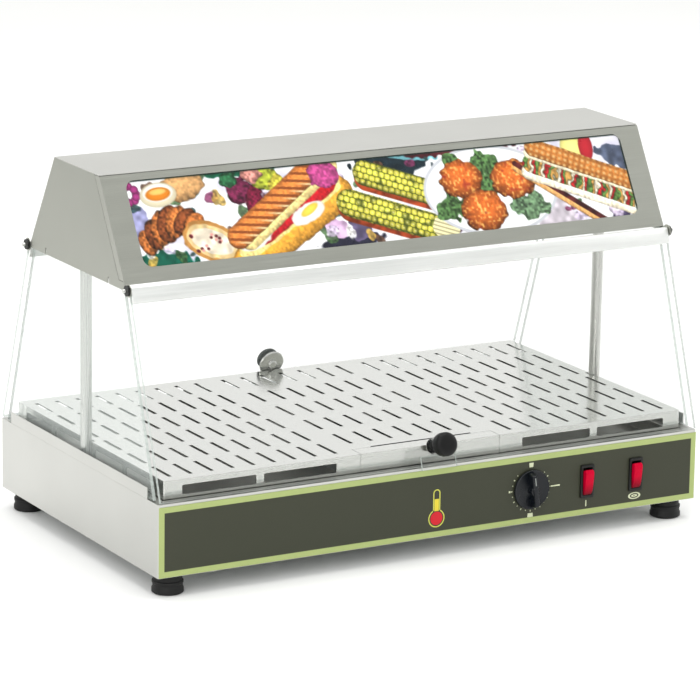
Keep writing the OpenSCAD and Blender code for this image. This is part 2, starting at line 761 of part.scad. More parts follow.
module hinge_washers() {
  color([0.05, 0.05, 0.05])
    for (sx = [-1, 1], s = [-1, 1]) mirror([sx < 0 ? 1 : 0, 0, 0]) difference() {
      rod_x(half_w + 0.1, half_w + 2.1, 5, s * hinge_y, hinge_z);
      rod_x(half_w - 5, half_w + 8, pin_r + 0.03, s * hinge_y, hinge_z);
    }
}

// Places a door drawn hanging straight down from the origin, its outside towards -Y
module at_door(side) {
  mirror([0, side > 0 ? 1 : 0, 0])
    translate([0, -hinge_y, hinge_z]) rotate([-door_lean, 0, 0]) children();
}

module door_profile(side) {
  color([0.92, 0.92, 0.91]) at_door(side) difference() {
    slab_x(-profile_half_w, profile_half_w)
      polygon([[-profile_t / 2, profile_up - 1.5], [-profile_t / 2 + 1.5, profile_up],
               [profile_t / 2 - 1.5, profile_up], [profile_t / 2, profile_up - 1.5],
               [profile_t / 2, -profile_down], [-profile_t / 2, -profile_down]]);
    block([-half_w, -glass_t / 2 - 0.1, -20], [half_w, glass_t / 2 + 0.1, -profile_up]);
    for (x = [-profile_half_w - 1, profile_half_w - 14])
      rod_x(x, x + 15, pin_r + pin_fit);
  }
}

module door_glass(side, knob_down) {
  color([0.85, 0.9, 0.88, 0.35]) at_door(side) difference() {
    block([-profile_half_w, -glass_t / 2, -glass_end], [profile_half_w, glass_t / 2, -profile_up - 0.1]);
    translate([0, 0, -knob_down]) rod_y(-5, 5, knob_screw_r + 0.3);
  }
}

// Turned knob outside the glass with its screw through the glass, deep or low
module door_knob(side, knob_down, deep) {
  r = door_knob_r;
  low_outline = [[r - 1.5, 3.4], [r, 4.2], [r, 6.2], [r - 1.4, 7.2], [r - 5, 7.8], [0, 8]];
  deep_outline = [[5.2, 8], [r - 1.5, 12], [r, 14], [r, 21], [r - 1.8, 23.4], [r - 5, 24.4], [0, 24.6]];
  color([0.05, 0.05, 0.05]) at_door(side) translate([0, -glass_t / 2 - 0.05, -knob_down])
    rotate([90, 0, 0]) union() {
      rotate_extrude() polygon(concat([[0, 0], [6.5, 0], [5.2, 2]], deep ? deep_outline : low_outline));
      translate([0, 0, -glass_t - 1.3]) cylinder(r = knob_screw_r, h = glass_t + 3.3);
    }
}

// Round washer plate on the inside of the glass, with a domed nut where the drawer leaves room for one
module door_rosette(side, knob_down, r, domed) {
  dome = domed ? [[4.6, 1.6], [4.6, 3], [3.4, 4], [0, 4.2]] : [[0, 1.4]];
  color([0.55, 0.56, 0.55]) at_door(side) translate([0, glass_t / 2 + 0.05, -knob_down])
    rotate([-90, 0, 0]) difference() {
      rotate_extrude() polygon(concat([[0, 0], [r, 0], [r, 0.8], [r - 1, 1.4]], dome));
      translate([0, 0, -1]) cylinder(r = knob_screw_r + 0.03, h = 3.2);
    }
}

// Clear tab bonded outside the glass that hangs over the base's edge
module door_tab(side) {
  tab_half = 19;
  color([0.8, 0.82, 0.8, 0.6]) at_door(side)
    block([-tab_half, -glass_t / 2 - 1.8, -glass_end - 4], [tab_half, -glass_t / 2 - 0.03, -glass_end + 9]);
}

module front_door_profile() { door_profile(-1); }
module rear_door_profile() { door_profile(1); }
module front_door_glass() { door_glass(-1, front_knob_down); }
module rear_door_glass() { door_glass(1, rear_knob_down); }
module front_door_knob() { door_knob(-1, front_knob_down, true); }
module rear_door_knob() { door_knob(1, rear_knob_down, false); }
module front_door_rosette() { door_rosette(-1, front_knob_down, 8, false); }
module rear_door_rosette() { door_rosette(1, rear_knob_down, 13.5, true); }
module front_door_tab() { door_tab(-1); }
module rear_door_tab() { door_tab(1); }

base_housing();
bottom_plate();
bottom_plate_screws();
heat_tray();
fascia_panel();
foot(-1, -1);  // foot_front_left
foot(1, -1);  // foot_front_right
foot(-1, 1);  // foot_rear_left
foot(1, 1);  // foot_rear_right
foot_screws();
slotted_shelf();
humidity_drawer();
drawer_runners();
heating_element();
element_clips();
thermostat_body();
thermostat_shaft();
thermostat_knob();
thermostat_sensor();
heat_switch_case();
heat_switch_rocker();
lamp_switch_case();
lamp_switch_rocker();
terminal_block();
wiring_loom();
cable_gland();
gland_lock_nut();
post_left();
post_right();
post_nuts();
side_rail_left();
side_rail_right();
side_glass_left();
side_glass_right();
canopy_end_left();
canopy_end_right();
canopy_cover();
canopy_front();
canopy_screws();
picture_sheet();
picture_channels();
lamp_reflector();
lamp_diffuser();
lamp_tube();
lamp_holders();
lamp_ballast();
hinge_pins();
hinge_washers();
front_door_profile();
front_door_glass();
front_door_knob();
front_door_rosette();
front_door_tab();
rear_door_profile();
rear_door_glass();
rear_door_knob();
rear_door_rosette();
rear_door_tab();
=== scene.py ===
import json
import math

import bmesh
import bpy
import numpy as np
from mathutils import Matrix, Vector


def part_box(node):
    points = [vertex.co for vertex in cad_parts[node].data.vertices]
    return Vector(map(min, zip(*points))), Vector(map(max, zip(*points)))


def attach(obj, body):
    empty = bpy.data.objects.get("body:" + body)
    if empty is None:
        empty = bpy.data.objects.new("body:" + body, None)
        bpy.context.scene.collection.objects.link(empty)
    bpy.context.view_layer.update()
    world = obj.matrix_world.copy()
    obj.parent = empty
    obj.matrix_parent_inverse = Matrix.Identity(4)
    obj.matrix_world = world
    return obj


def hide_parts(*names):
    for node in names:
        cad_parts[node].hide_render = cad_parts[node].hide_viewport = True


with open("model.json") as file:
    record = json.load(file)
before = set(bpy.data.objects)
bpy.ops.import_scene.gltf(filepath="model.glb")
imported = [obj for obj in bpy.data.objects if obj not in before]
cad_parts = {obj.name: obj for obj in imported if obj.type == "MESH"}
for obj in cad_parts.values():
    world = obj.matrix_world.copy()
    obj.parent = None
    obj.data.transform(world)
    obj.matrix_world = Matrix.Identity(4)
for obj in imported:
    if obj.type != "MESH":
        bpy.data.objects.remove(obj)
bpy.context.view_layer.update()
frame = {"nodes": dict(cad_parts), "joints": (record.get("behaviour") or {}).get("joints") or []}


# ---------------------------------------------------------------------------
# Camera. A long lens far from the case, a little above it and off its left
# front corner, so that the front, the left side and the shelf all show.
# ---------------------------------------------------------------------------
CAMERA_TURN = math.radians(-29.76)
CAMERA_RISE = math.radians(14.18)
CAMERA_ROLL = math.radians(0.92)
CAMERA_DISTANCE = 3.881
CAMERA_LIFT = 0.1593
LENS_MM = 202.5

camera_back = Vector((math.sin(CAMERA_TURN) * math.cos(CAMERA_RISE),
                      -math.cos(CAMERA_TURN) * math.cos(CAMERA_RISE),
                      math.sin(CAMERA_RISE)))
level_right = Vector((math.cos(CAMERA_TURN), math.sin(CAMERA_TURN), 0))
level_up = camera_back.cross(level_right)
camera_right = math.cos(CAMERA_ROLL) * level_right + math.sin(CAMERA_ROLL) * level_up
camera_up = math.cos(CAMERA_ROLL) * level_up - math.sin(CAMERA_ROLL) * level_right
camera_pose = Matrix((camera_right, camera_up, camera_back)).transposed().to_4x4()
camera_pose.translation = camera_back * CAMERA_DISTANCE + level_up * CAMERA_LIFT

camera = bpy.data.objects.new("camera", bpy.data.cameras.new("camera"))
camera.data.lens = LENS_MM
camera.data.sensor_width = 36
camera.data.clip_end = 100
camera.matrix_world = camera_pose
bpy.context.collection.objects.link(camera)
bpy.context.scene.camera = camera


# ---------------------------------------------------------------------------
# Studio. A white floor that runs out of sight, an even pale surround, and
# three soft boxes: one overhead, one at the front left, one at the right.
# ---------------------------------------------------------------------------
class Wire:
    """A socket of a finish's node tree. Sums and products of wires add Math nodes."""

    def __init__(self, tree, socket):
        self.tree = tree
        self.socket = socket

    def node(self, kind, settings, sockets, out=0):
        """Adds a node of a kind: settings first, then a value or a wire for each socket."""
        added = self.tree.nodes.new(kind)
        for name, value in settings.items():
            if name == "stops":
                ramp = added.color_ramp
                while len(ramp.elements) < len(value):
                    ramp.elements.new(1)
                for stop, (place, colour) in zip(ramp.elements, value):
                    stop.position = place
                    stop.color = (*colour, 1)
            else:
                setattr(added, name, value)
        for name, value in sockets.items():
            if isinstance(value, Wire):
                self.tree.links.new(value.socket, added.inputs[name])
            else:
                added.inputs[name].default_value = value
        return Wire(self.tree, added.outputs[out])

    def math(self, operation, *values):
        return self.node("ShaderNodeMath", {"operation": operation}, dict(enumerate(values)))

    def __add__(self, other):
        return self.math("ADD", self, other)

    def __sub__(self, other):
        return self.math("SUBTRACT", self, other)

    def __rsub__(self, other):
        return self.math("SUBTRACT", other, self)

    def __mul__(self, other):
        return self.math("MULTIPLY", self, other)

    __radd__ = __add__
    __rmul__ = __mul__


def tone(red, green, blue):
    """A colour as printed on a swatch, 0 to 255, made linear for the shaders."""
    linear = []
    for part in (red, green, blue):
        part = part / 255
        linear.append(part / 12.92 if part <= 0.04045 else ((part + 0.055) / 1.055) ** 2.4)
    return tuple(linear)


def new_finish(name):
    """A new material, and the wire that says where a point lies on the object, in metres."""
    material = bpy.data.materials.new(name)
    material.use_nodes = True
    tree = material.node_tree
    return material, Wire(tree, tree.nodes.new("ShaderNodeTexCoord").outputs["Object"])


def noise(place, spacing, detail=3.0):
    """Cloudy noise from 0 to 1. spacing is its grain in metres, for each axis or for all."""
    across = spacing if isinstance(spacing, tuple) else (spacing,) * 3
    scaled = place.node("ShaderNodeVectorMath", {"operation": "MULTIPLY"},
                        {0: place, 1: tuple(1 / s for s in across)})
    return place.node("ShaderNodeTexNoise", {}, {"Vector": scaled, "Scale": 1.0, "Detail": detail})


def coordinate(place, axis):
    """How far a point lies along an axis: 0 for X, 1 for Y, 2 for Z."""
    return place.node("ShaderNodeSeparateXYZ", {}, {0: place}, out=axis)


def spread(wire, low, high, new_low, new_high):
    """Turns low..high into new_low..new_high, held at its ends."""
    return wire.node("ShaderNodeMapRange", {}, {"Value": wire, "From Min": low, "From Max": high,
                                                "To Min": new_low, "To Max": new_high})


def blended(amount, first, second):
    """The first colour where amount is 0 and the second where it is 1."""
    first, second = (c if isinstance(c, Wire) else (*c, 1) for c in (first, second))
    return amount.node("ShaderNodeMix", {"data_type": "RGBA"}, {0: amount, 6: first, 7: second}, out=2)


def relief(height, depth):
    """Normals for a height from 0 to 1 that stands depth metres high."""
    return height.node("ShaderNodeBump", {}, {"Height": height, "Strength": 1.0, "Distance": depth})


def set_surface(material, **sockets):
    """Sets the main shader's sockets, such as Base_Color, to a value or a wire."""
    tree = material.node_tree
    shader = tree.nodes["Principled BSDF"]
    for name, value in sockets.items():
        socket = shader.inputs[name.replace("_", " ")]
        if isinstance(value, Wire):
            tree.links.new(value.socket, socket)
        else:
            socket.default_value = (*value, 1) if isinstance(value, tuple) else value
    return material


def coat(material, *pieces):
    """Puts a finish on new pieces, or on the frame's nodes by name."""
    for piece in pieces:
        piece = frame["nodes"][piece] if isinstance(piece, str) else piece
        piece.data.materials.clear()
        piece.data.materials.append(material)


FLOOR_HALF = 30.0
FLOOR_DROP = 0.0002
floor_mesh = bpy.data.meshes.new("floor")
floor_mesh.from_pydata([(sx * FLOOR_HALF, sy * FLOOR_HALF, -FLOOR_DROP)
                        for sx, sy in ((-1, -1), (1, -1), (1, 1), (-1, 1))], [], [(0, 1, 2, 3)])
floor = bpy.data.objects.new("floor", floor_mesh)
bpy.context.collection.objects.link(floor)

paper, place = new_finish("studio_paper")
coat(set_surface(paper, Base_Color=blended(noise(place, 0.4), tone(247, 247, 246), tone(251, 251, 250)),
                 Roughness=0.9, Specular_IOR_Level=0.1), floor)

world = bpy.data.worlds.new("studio")
bpy.context.scene.world = world
world.use_nodes = True
sky = world.node_tree
heading = Wire(sky, sky.nodes.new("ShaderNodeTexCoord").outputs["Generated"])
SKY_FRONT = tone(214, 216, 214)
SKY_BACK = tone(252, 252, 251)
sky_colour = blended(spread(coordinate(heading, 1), -1, 0.4, 0, 1), SKY_FRONT, SKY_BACK)
sky.links.new(sky_colour.socket, sky.nodes["Background"].inputs["Color"])

# Each soft box: where it stands, its width in metres, its power in watts
SOFT_BOXES = {
    "overhead": ((0.0, 0.1, 2.6), 2.6, 42),
    "front_left": ((-2.0, -2.4, 1.9), 1.8, 34),
    "right": ((2.8, -0.6, 1.6), 1.6, 16),
}
LIT_POINT = Vector((0, 0, 0.15))
for name, (stand, width, watts) in SOFT_BOXES.items():
    lamp = bpy.data.lights.new(name, "AREA")
    lamp.shape = "SQUARE"
    lamp.size = width
    lamp.energy = watts
    soft_box = bpy.data.objects.new(name, lamp)
    soft_box.location = stand
    soft_box.rotation_mode = "QUATERNION"
    soft_box.rotation_quaternion = (LIT_POINT - Vector(stand)).to_track_quat("-Z", "Y")
    bpy.context.collection.objects.link(soft_box)

bpy.context.scene.view_settings.view_transform = "Standard"


# ---------------------------------------------------------------------------
# Feet. Four black rubber feet, moulded with a flared sole and two grip rings,
# each held to the bottom plate by a pan screw up through its middle.
# ---------------------------------------------------------------------------
def add_piece(name, mesh, body, slot, *stands_for):
    """Links a mesh as a piece that rides on a body and may stand for CAD nodes."""
    piece = bpy.data.objects.new(name, mesh)
    bpy.context.collection.objects.link(piece)
    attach(piece, body)
    if stands_for:
        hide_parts(*stands_for)
    return piece


def rounded_off(shape, name, degrees=35):
    """Makes a mesh of a bmesh, shaded round except at edges sharper than the angle."""
    bmesh.ops.recalc_face_normals(shape, faces=shape.faces)
    for face in shape.faces:
        face.smooth = True
    for edge in shape.edges:
        edge.smooth = edge.calc_face_angle(0) < math.radians(degrees)
    mesh = bpy.data.meshes.new(name)
    shape.to_mesh(mesh)
    shape.free()
    return mesh


def turned(outline, steps=64):
    """Turns (radius, height) points about Z, as on a lathe. A radius of 0 closes to a point."""
    shape = bmesh.new()
    rings = []
    for radius, height in outline:
        if radius == 0:
            rings.append([shape.verts.new((0, 0, height))] * steps)
        else:
            angles = [math.tau * k / steps for k in range(steps)]
            rings.append([shape.verts.new((radius * math.cos(a), radius * math.sin(a), height))
                          for a in angles])
    for below, above in zip(rings, rings[1:]):
        for k in range(steps):
            after = (k + 1) % steps
            corners = list(dict.fromkeys((below[k], below[after], above[after], above[k])))
            if len(corners) > 2:
                shape.faces.new(corners)
    return shape


def moulded(name, colour, roughness, shine=0.3, grain=0.0006, depth=0.00003):
    """Moulded plastic or rubber: a faint spark-eroded grain and a slightly uneven gloss."""
    material, place = new_finish(name)
    cloud = noise(place, 0.03)
    darker = tuple(c * 0.8 for c in colour)
    lighter = tuple(min(1, c * 1.15 + 0.002) for c in colour)
    return set_surface(material, Base_Color=blended(cloud, darker, lighter), Specular_IOR_Level=shine,
                       Roughness=spread(cloud, 0.3, 0.7, roughness - 0.06, roughness + 0.06),
                       Normal=relief(noise(place, grain), depth))


# Outline of a foot, as shares of its radius and of its height
FOOT_OUTLINE = ((0, 0.18), (0.2, 0.15), (0.3, 0), (0.92, 0), (1, 0.05), (1, 0.22), (0.94, 0.3), (0.94, 0.44),
                (0.98, 0.48), (0.98, 0.58), (0.9, 0.63), (0.88, 0.95), (0.84, 1), (0, 1))
foot_rubber = moulded("foot_rubber", tone(24, 24, 24), 0.6)
for corner in ("front_left", "front_right", "rear_left", "rear_right"):
    low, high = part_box("foot_" + corner)
    foot_r = (high.x - low.x) / 2
    foot_h = high.z - low.z
    foot = turned([(foot_r * radius, foot_h * height) for radius, height in FOOT_OUTLINE])
    foot.transform(Matrix.Translation(((low.x + high.x) / 2, (low.y + high.y) / 2, low.z)))
    coat(foot_rubber, add_piece("rubber_foot_" + corner, rounded_off(foot, "foot"), "case", "foot_rubber",
                                "foot_" + corner))


# ---------------------------------------------------------------------------
# Base. One folded box of 1.2 mm stainless sheet with a fine grain along its
# length, open on top under the shelf and closed by a screwed bottom plate.
# ---------------------------------------------------------------------------
def brushed(name, colour, roughness, grain=(0.05, 0.0006, 0.0006), streak=0.05, depth=0.000004):
    """Rolled or brushed metal: fine lines along one axis over a faint cloudy tone."""
    material, place = new_finish(name)
    lines = noise(place, grain, 4)
    mixed = lines * 0.6 + noise(place, 0.09, 2) * 0.4
    darker = tuple(c * (1 - streak) for c in colour)
    lighter = tuple(min(1, c * (1 + streak)) for c in colour)
    return set_surface(material, Base_Color=blended(spread(mixed, 0.35, 0.65, 0, 1), darker, lighter),
                       Metallic=1.0, Roughness=spread(lines, 0.3, 0.7, roughness - 0.07, roughness + 0.07),
                       Normal=relief(lines, depth))


MERGE_DISTANCE = 1e-6
SHARP = math.radians(30)


def softened(node, radius, name, body, slot, segments=2):
    """A piece with a CAD node's shape, its sharp edges rounded to a radius in metres."""
    shape = bmesh.new()
    shape.from_mesh(frame["nodes"][node].data)
    bmesh.ops.remove_doubles(shape, verts=shape.verts, dist=MERGE_DISTANCE)
    bmesh.ops.dissolve_limit(shape, angle_limit=math.radians(1), verts=shape.verts, edges=shape.edges)
    sharp = [edge for edge in shape.edges if edge.calc_face_angle(0) > SHARP]
    bmesh.ops.bevel(shape, geom=sharp, offset=radius, segments=segments, profile=0.5, affect="EDGES",
                    clamp_overlap=True)
    return add_piece(name, rounded_off(shape, name), body, slot, node)


housing_steel = brushed("housing_steel", tone(194, 194, 190), 0.34)
coat(housing_steel, "base_housing", "side_rail_left", "side_rail_right")
galvanised = brushed("galvanised", tone(196, 199, 198), 0.42, (0.012, 0.009, 0.009), 0.12)
coat(galvanised, "bottom_plate")
plated = brushed("plated_hardware", tone(205, 205, 202), 0.2, (0.002, 0.0004, 0.0004))
coat(plated, "bottom_plate_screws", "foot_screws")


# ---------------------------------------------------------------------------
# Heat and wiring inside the base. A steel tray over a bent sheathed element
# held by clips, with the thermostat, its sensor, the loom and the cable gland.
# ---------------------------------------------------------------------------
coat(brushed("tray_steel", tone(190, 189, 183), 0.35, (0.08, 0.002, 0.002), 0.1), "heat_tray")
coat(brushed("heat_tinted_sheath", tone(120, 112, 102), 0.4, (0.004, 0.004, 0.004), 0.25), "heating_element")
coat(brushed("drawn_copper", tone(190, 120, 84), 0.3, (0.0004, 0.03, 0.0004), 0.1), "thermostat_sensor")
coat(galvanised, "drawer_runners", "element_clips")
coat(plated, "thermostat_shaft")
cream_plastic = moulded("cream_plastic", tone(225, 220, 202), 0.5)
coat(cream_plastic, "thermostat_body", "terminal_block")
black_plastic = moulded("black_plastic", tone(20, 20, 19), 0.4)
coat(black_plastic, "cable_gland", "gland_lock_nut")

sleeve, place = new_finish("loom_sleeve")
braid = noise(place, (0.0022, 0.0009, 0.0009), 2)
coat(set_surface(sleeve, Base_Color=blended(braid, tone(28, 28, 30), tone(62, 62, 66)), Roughness=0.7,
                 Normal=relief(braid, 0.0002)), "wiring_loom")


# ---------------------------------------------------------------------------
# Shelf and drawer. A lift-out shelf of bright sheet, punched with rows of
# slots, and the shallow water drawer that fits in a notch at its front.
# ---------------------------------------------------------------------------
# Painted light on the shelf: its top face is painted lighter as lit, its sides and underside darker as
# painted shade, and its slot walls dark as painted shade.
LIT_SHELF_TOP = tone(228, 229, 225)
SHADED_SHELF_SIDE = tone(200, 201, 197)
SHADED_SLOT_WALL = tone(58, 58, 54)
STREAK = (0.35, 0.35, 0.34)
STREAK_SHARE = 0.08
# Where the painted light gives way to painted shade: below the lit top face, at the slots' lower edges, in
# from the sides
LIT_TOP_END = (0.0002, 0.0006)
SLOT_SHADE_END = (0.0008, 0.00095)
SIDE_SHADE_END = (0.0003, 0.0006)


def shelf_sheet(name, node, shaded_wall):
    """Bright sheet with a painted highlight on its top face, painted shade on its sides and below, and a
    given tone of painted shade on the cut slot walls.
    """
    node_low, node_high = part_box(node)
    material, place = new_finish(name)
    lines = noise(place, (0.08, 0.002, 0.002), 4)
    x, y, z = (coordinate(place, axis) for axis in range(3))
    past_x = x.math("ABSOLUTE", x) - node_high.x
    past_y = y.math("ABSOLUTE", y) + node_low.y
    outside = spread(past_x.math("MAXIMUM", past_x, past_y), -SIDE_SHADE_END[1], -SIDE_SHADE_END[0], 0, 1)
    below = spread(z, node_high.z - LIT_TOP_END[1], node_high.z - LIT_TOP_END[0], 1, 0)
    underside = spread(z, node_high.z - SLOT_SHADE_END[1], node_high.z - SLOT_SHADE_END[0], 1, 0)
    shaded_cut = blended(underside, shaded_wall, SHADED_SHELF_SIDE)
    painted_light_tone = blended(outside, blended(below, LIT_SHELF_TOP, shaded_cut), SHADED_SHELF_SIDE)
    streaked = blended(spread(lines, 0.3, 0.7, 0, STREAK_SHARE), painted_light_tone, STREAK)
    set_surface(material, Base_Color=streaked, Metallic=1.0, Roughness=spread(lines, 0.3, 0.7, 0.12, 0.24),
                Normal=relief(lines, 0.000002))
    coat(material, node)


# The shelf's slot walls get dark painted shade; the drawer's get the same painted shade as its sides.
shelf_sheet("shelf_steel", "slotted_shelf", SHADED_SLOT_WALL)
shelf_sheet("drawer_steel", "humidity_drawer", SHADED_SHELF_SIDE)


# ---------------------------------------------------------------------------
# Control panel. A printed film on a thin plate, dark olive grey with a lime
# border all round. The symbols are screen printed, a hair above the film.
# ---------------------------------------------------------------------------
BORDER = 0.0055
BORDER_BLUR = 0.0002
INK_THICK = 0.00006
panel_low, panel_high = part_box("fascia_panel")
panel_mid = (panel_low + panel_high) / 2
panel_half = (panel_high - panel_low) / 2
film, place = new_finish("printed_film")
offset_x = coordinate(place, 0) - panel_mid.x
offset_z = coordinate(place, 2) - panel_mid.z
gap_x = panel_half.x - offset_x.math("ABSOLUTE", offset_x)
gap_z = panel_half.z - offset_z.math("ABSOLUTE", offset_z)
in_border = spread(gap_x.math("MINIMUM", gap_x, gap_z), BORDER - BORDER_BLUR, BORDER + BORDER_BLUR, 1, 0)
speck = noise(place, 0.0008)
olive = blended(speck, tone(54, 56, 43), tone(60, 62, 49))
lime = blended(speck, tone(160, 174, 108), tone(172, 185, 122))
coat(set_surface(film, Base_Color=blended(in_border, olive, lime), Specular_IOR_Level=0.25,
                 Roughness=spread(speck, 0.3, 0.7, 0.4, 0.48), Normal=relief(speck, 0.00002)), "fascia_panel")


def wedge(centre, inner, outer, start, stop, steps, stretch=1.0):
    """Quads of a ring sector round (x, z), from angle start to stop in degrees. stretch widens it in x."""
    corners = []
    for k in range(steps + 1):
        angle = math.radians(start + (stop - start) * k / steps)
        spoke = (math.cos(angle) * stretch, math.sin(angle))
        corners.append([(centre[0] + r * spoke[0], centre[1] + r * spoke[1]) for r in (inner, outer)])
    return [(a[0], a[1], b[1], b[0]) for a, b in zip(corners, corners[1:])]


def bar(x, low_z, high_z, half_width):
    """One upright bar as a quad of (x, z) points."""
    left, right = x - half_width, x + half_width
    return [((left, low_z), (right, low_z), (right, high_z), (left, high_z))]


def printed(name, quads, colour):
    """Ink on the panel: flat quads of (x, z) points in metres, given a hair of thickness."""
    shape = bmesh.new()
    for quad in quads:
        shape.faces.new([shape.verts.new((x, panel_low.y, z)) for x, z in quad])
    bmesh.ops.remove_doubles(shape, verts=shape.verts, dist=MERGE_DISTANCE)
    raised = bmesh.ops.extrude_face_region(shape, geom=shape.faces[:])["geom"]
    for part in raised:
        if isinstance(part, bmesh.types.BMVert):
            part.co.y -= INK_THICK
    piece = add_piece(name, rounded_off(shape, name), "case", "printed_panel")
    coat(moulded(name + "_ink", colour, 0.45, 0.25, 0.0004, 0.00001), piece)


dial_low, dial_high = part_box("thermostat_knob")
dial_mid = (dial_low + dial_high) / 2
dial_r = (dial_high.x - dial_low.x) / 2
TICKS = 24
TICK_INNER = dial_r + 0.0011
TICK_LONG = 0.0016
TICK_SHORT = 0.0009
TICK_HALF_ANGLE = 1.2
# Directions in degrees between which the scale has no ticks
SCALE_GAP = (60, 120)
# The four long marks: direction in degrees, from and to in metres past the dial's rim, half width in degrees
LONG_MARKS = ((0, 0.0019, 0.0133, 1.3), (90, 0.0022, 0.0066, 5.5), (180, 0.0034, 0.0052, 2.4),
              (270, 0.0044, 0.0084, 6.5))
ticks = []
for k in range(TICKS):
    direction = 360 * k / TICKS
    if not SCALE_GAP[0] <= direction <= SCALE_GAP[1]:
        reach = TICK_SHORT if k % 2 else TICK_LONG
        ticks += wedge((dial_mid.x, dial_mid.z), TICK_INNER, TICK_INNER + reach,
                       direction - TICK_HALF_ANGLE, direction + TICK_HALF_ANGLE, 1)
for direction, start, stop, half_angle in LONG_MARKS:
    ticks += wedge((dial_mid.x, dial_mid.z), dial_r + start, dial_r + stop,
                   direction - half_angle, direction + half_angle, 3)
pale_ink = tone(206, 211, 178)
printed("dial_scale", ticks, pale_ink)

# Thermometer symbol: a ring round the red bulb, open at its top where the stem's two lines rise
THERMOMETER_X = -0.0004
BULB_Z = 0.0388
BULB_R = 0.0066
RING_INNER = 0.0078
RING_OUTER = 0.0089
RING_START = 118
RING_STOP = 422
STEM_LOW = BULB_Z + 0.008
STEM_TOP = 0.0635
STEM_HALF = 0.0039
LINE = 0.0011
COLUMN_LOW = BULB_Z + 0.0072
COLUMN_TOP = BULB_Z + 0.019
COLUMN_HALF = 0.0024
printed("thermometer_outline",
        bar(THERMOMETER_X - STEM_HALF + LINE / 2, STEM_LOW, STEM_TOP, LINE / 2)
        + bar(THERMOMETER_X + STEM_HALF - LINE / 2, STEM_LOW, STEM_TOP, LINE / 2)
        + wedge((THERMOMETER_X, STEM_TOP), STEM_HALF - LINE, STEM_HALF, 0, 180, 12)
        + wedge((THERMOMETER_X, BULB_Z), RING_INNER, RING_OUTER, RING_START, RING_STOP, 32),
        tone(205, 206, 90))
printed("thermometer_column", bar(THERMOMETER_X, COLUMN_LOW, COLUMN_TOP, COLUMN_HALF), tone(224, 205, 62))
printed("thermometer_bulb", wedge((THERMOMETER_X, BULB_Z), 0.0, BULB_R, 0, 360, 32), tone(206, 30, 42))

heat_low, heat_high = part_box("heat_switch_case")
lamp_low, lamp_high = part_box("lamp_switch_case")
heat_x = (heat_low.x + heat_high.x) / 2
lamp_x = (lamp_low.x + lamp_high.x) / 2
HEAT_MARK_LOW = 0.0285
HEAT_MARK_TOP = 0.0346
HEAT_MARK_HALF = 0.0006
LAMP_MARK_Z = 0.032
LAMP_RING = (0.0024, 0.0034)
LAMP_DOT = (0.0004, 0.0012)
printed("heat_mark", bar(heat_x, HEAT_MARK_LOW, HEAT_MARK_TOP, HEAT_MARK_HALF), pale_ink)
printed("lamp_mark", wedge((lamp_x, LAMP_MARK_Z), *LAMP_RING, 0, 360, 40, 2.1)
        + wedge((lamp_x, LAMP_MARK_Z), *LAMP_DOT, 0, 360, 24, 3.0), pale_ink)


# ---------------------------------------------------------------------------
# Thermostat dial. One low blue-black moulding: a thin dished skirt, a boss and
# a grip bar across it, pushed on the thermostat's shaft. A pale line points.
# ---------------------------------------------------------------------------
# Outline of the round part: share of the dial's radius, distance from its back in metres
DIAL_OUTLINE = ((0, 0), (0.96, 0), (0.99, 0.0003), (1, 0.0008), (1, 0.0019), (0.985, 0.0025), (0.955, 0.0028),
                (0.92, 0.0027), (0.8, 0.0022), (0.6, 0.0018), (0.36, 0.0017), (0.28, 0.0021), (0.25, 0.0032),
                (0.235, 0.0084), (0.2, 0.0090), (0, 0.0090))
DIAL_FLUTES = 60
FLUTE_DEPTH = 0.0003
FLUTED_FROM = 0.98
DIAL_LEAN = math.radians(7.5)
GRIP_HALF_LENGTH = 0.0179
GRIP_FOOT = 0.0016
GRIP_TAPER = 0.0022
GRIP_EDGE = 0.0011
GRIP_BACK_HALF = 0.0036
GRIP_FRONT_HALF = 0.0025
POINTER_SIZE = (0.0010, 0.0080, 0.0003)
POINTER_EDGE = 0.0001
POINTER_UP = 0.0098
POINTER_SUNK = 0.0001
dial_depth = dial_high.y - dial_low.y
to_dial = (Matrix.Translation((dial_mid.x, dial_high.y, dial_mid.z)) @ Matrix.Rotation(math.pi / 2, 4, "X")
           @ Matrix.Rotation(DIAL_LEAN, 4, "Z"))
dial = turned([(dial_r * radius, height) for radius, height in DIAL_OUTLINE], DIAL_FLUTES * 4)
for corner in dial.verts:
    if corner.co.xy.length > FLUTED_FROM * dial_r:
        wave = math.cos(DIAL_FLUTES * math.atan2(corner.co.y, corner.co.x))
        corner.co.xy *= 1 - FLUTE_DEPTH * (1 - wave) / 2 / dial_r
grip = bmesh.ops.create_cube(dial, size=1)["verts"]
for corner in grip:
    at_front = corner.co.z > 0
    half_width = GRIP_FRONT_HALF if at_front else GRIP_BACK_HALF
    half_length = GRIP_HALF_LENGTH - (GRIP_TAPER if at_front else 0)
    corner.co = (math.copysign(half_width, corner.co.x), math.copysign(half_length, corner.co.y),
                 dial_depth if at_front else GRIP_FOOT)
grip_edges = {edge for corner in grip for edge in corner.link_edges}
bmesh.ops.bevel(dial, geom=list(grip_edges), offset=GRIP_EDGE, segments=3, profile=0.5, affect="EDGES")
dial.transform(to_dial)
dial_plastic = moulded("dial_plastic", tone(10, 15, 21), 0.3, 0.3)
coat(dial_plastic, add_piece("dial", rounded_off(dial, "dial"), "dial", "dial_plastic", "thermostat_knob"))

pointer = bmesh.new()
bmesh.ops.create_cube(pointer, size=1, matrix=Matrix.Diagonal((*POINTER_SIZE, 1)))
bmesh.ops.bevel(pointer, geom=pointer.edges[:], offset=POINTER_EDGE, segments=1, affect="EDGES")
pointer.transform(to_dial @ Matrix.Translation((0, POINTER_UP, dial_depth - POINTER_SUNK)))
coat(moulded("pointer_ink", tone(150, 154, 150), 0.4),
     add_piece("dial_pointer", rounded_off(pointer, "pointer"), "dial", "dial_plastic"))


